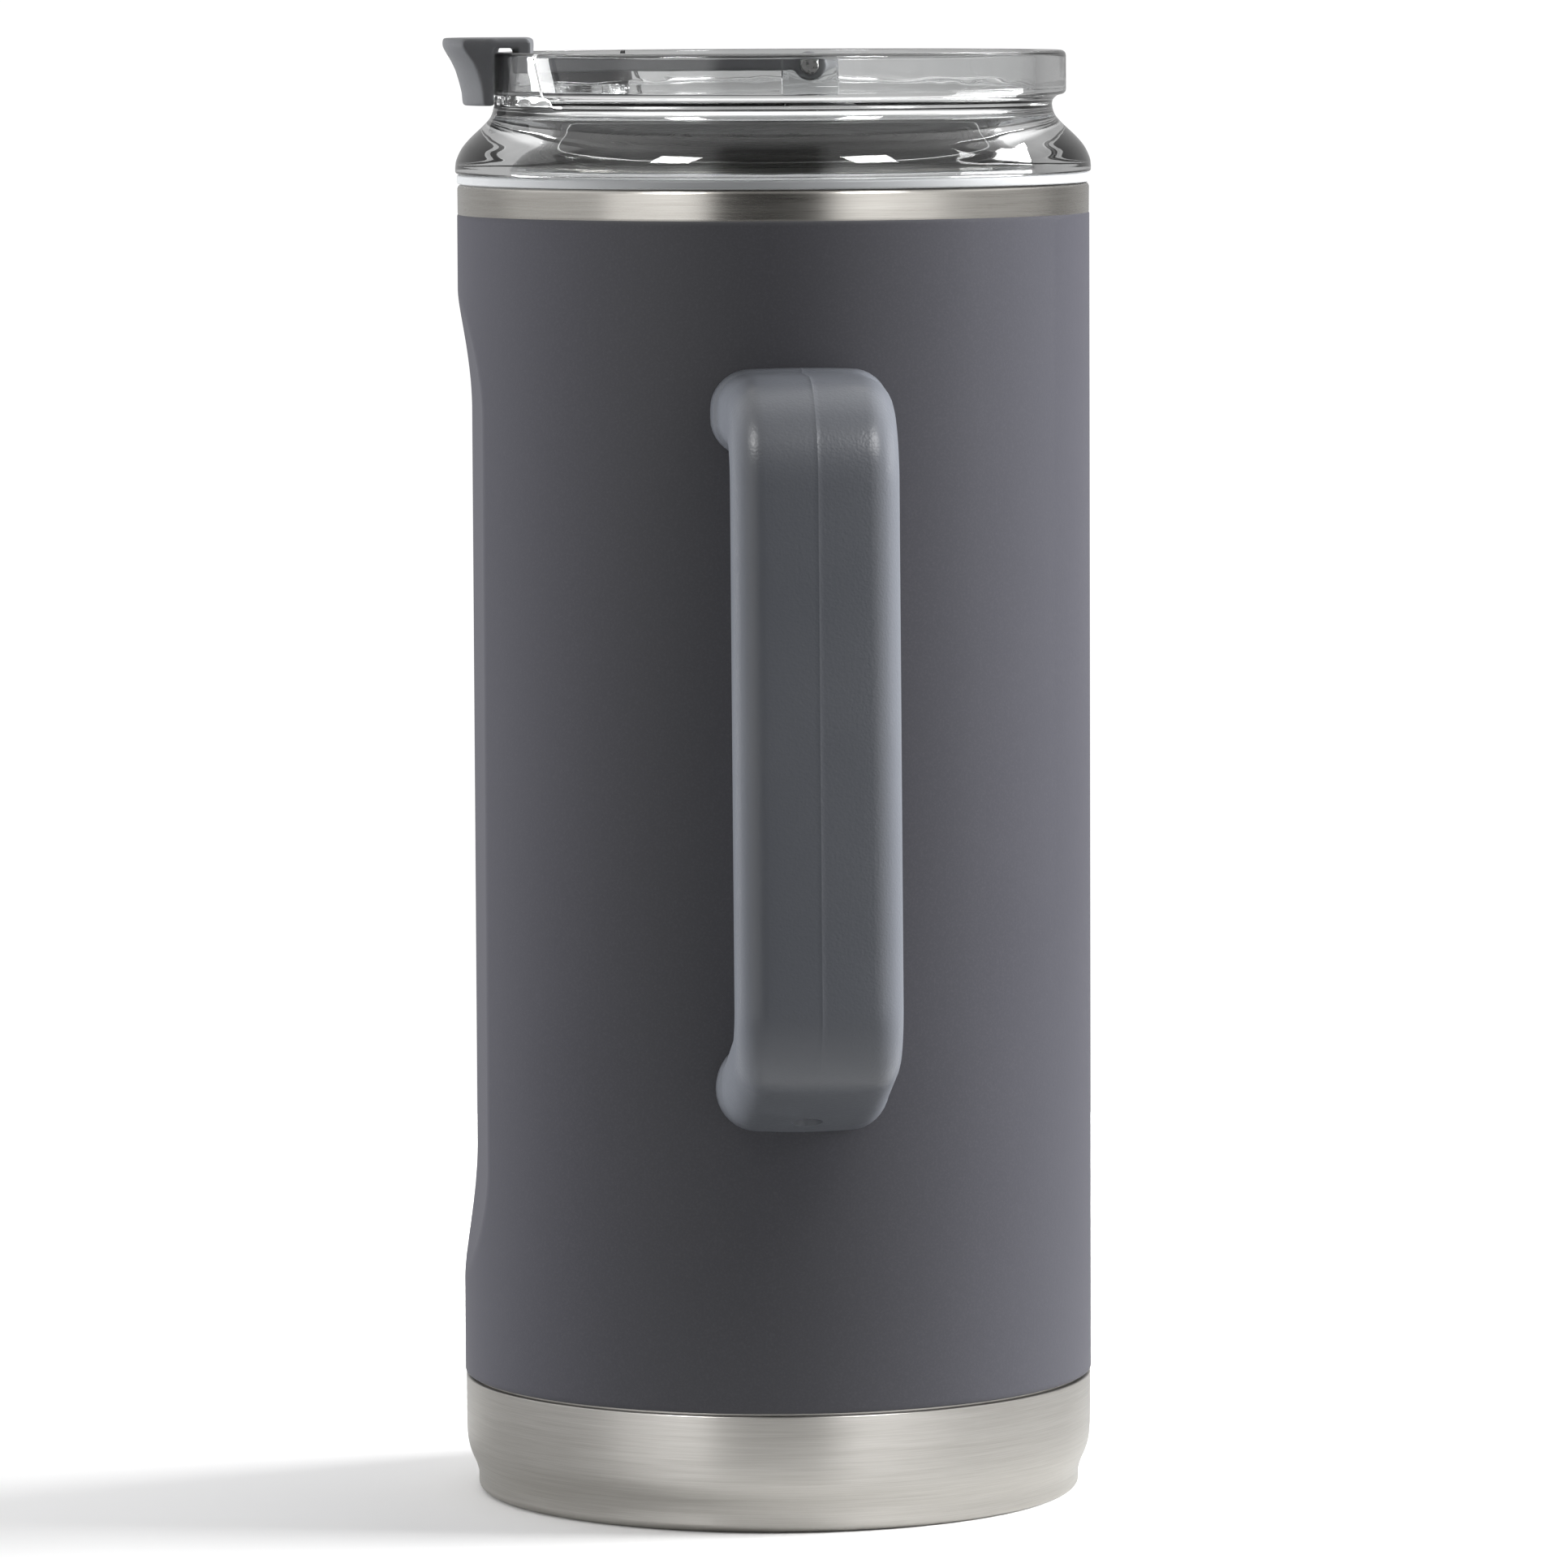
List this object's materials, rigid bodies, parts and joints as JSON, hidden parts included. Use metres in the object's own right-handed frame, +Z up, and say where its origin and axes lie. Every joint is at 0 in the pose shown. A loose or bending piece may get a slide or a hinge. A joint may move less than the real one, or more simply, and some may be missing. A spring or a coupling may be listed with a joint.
{
  "type": "growler",
  "caption": "Double-walled steel growler with a powder-coated shell, flat side panel, screwed side handle, and a clear screw lid with a hinged pouring cap.",
  "frame": {"origin": "centre of the foot ring, on the surface the growler stands on", "axes": "+Z up along the growler's axis, -Y towards the handle, -X towards the flat panel"},
  "size_m": [0.1167, 0.1532, 0.2634],
  "materials": {
    "powder_coat": "matte slate grey powder coat, fine even texture",
    "brushed_rim": "bare stainless steel, brushed round the axis",
    "liner_steel": "electropolished stainless steel",
    "bracket_steel": "plain stainless steel",
    "copper": "bright copper foil",
    "seal_glass": "fused solder glass",
    "getter_metal": "grey getter metal",
    "handle_plastic": "blue-grey moulded plastic, pebbled soft grain",
    "cap_plastic": "grey moulded plastic, satin",
    "clear_plastic": "clear glossy plastic",
    "gasket_silicone": "pale translucent silicone",
    "stopper_silicone": "dark grey silicone"
  },
  "bodies": {
    "vessel": {"outer_shell": "powder_coat", "rim_band": "brushed_rim", "base_cup": "brushed_rim", "bottom_cover": "brushed_rim", "vacuum_seal": "seal_glass", "getter": "getter_metal", "inner_vessel": "liner_steel", "copper_foil": "copper", "upper_bracket": "bracket_steel", "lower_bracket": "bracket_steel", "bracket_nut": "bracket_steel", "handle_grip": "handle_plastic", "handle_screw": "bracket_steel"},
    "gasket": {"lid_gasket": "gasket_silicone"},
    "lid": {"lid_body": "clear_plastic", "hinge_pin": "bracket_steel"},
    "cap": {"flip_cap": "cap_plastic", "cap_stopper": "stopper_silicone"}
  },
  "joints": [
    {"name": "lid_rise", "type": "slide", "parent": "vessel", "child": "gasket", "axis": [0, 0, 1], "range_m": [0, 0.0181]},
    {"name": "lid_turn", "type": "hinge", "parent": "gasket", "child": "lid", "pos_m": [0, 0, 0.238], "axis": [0, 0, 1], "range_deg": [0, 540]},
    {"name": "cap_flip", "type": "hinge", "parent": "lid", "child": "cap", "pos_m": [0.00658, -0.00054, 0.2577], "axis": [0.0819, 0.9966, 0], "range_deg": [0, 160]}
  ],
  "couplings": [
    {"joint": "lid_rise", "follows": "lid_turn", "m_per_rad": 0.0019099}
  ]
}
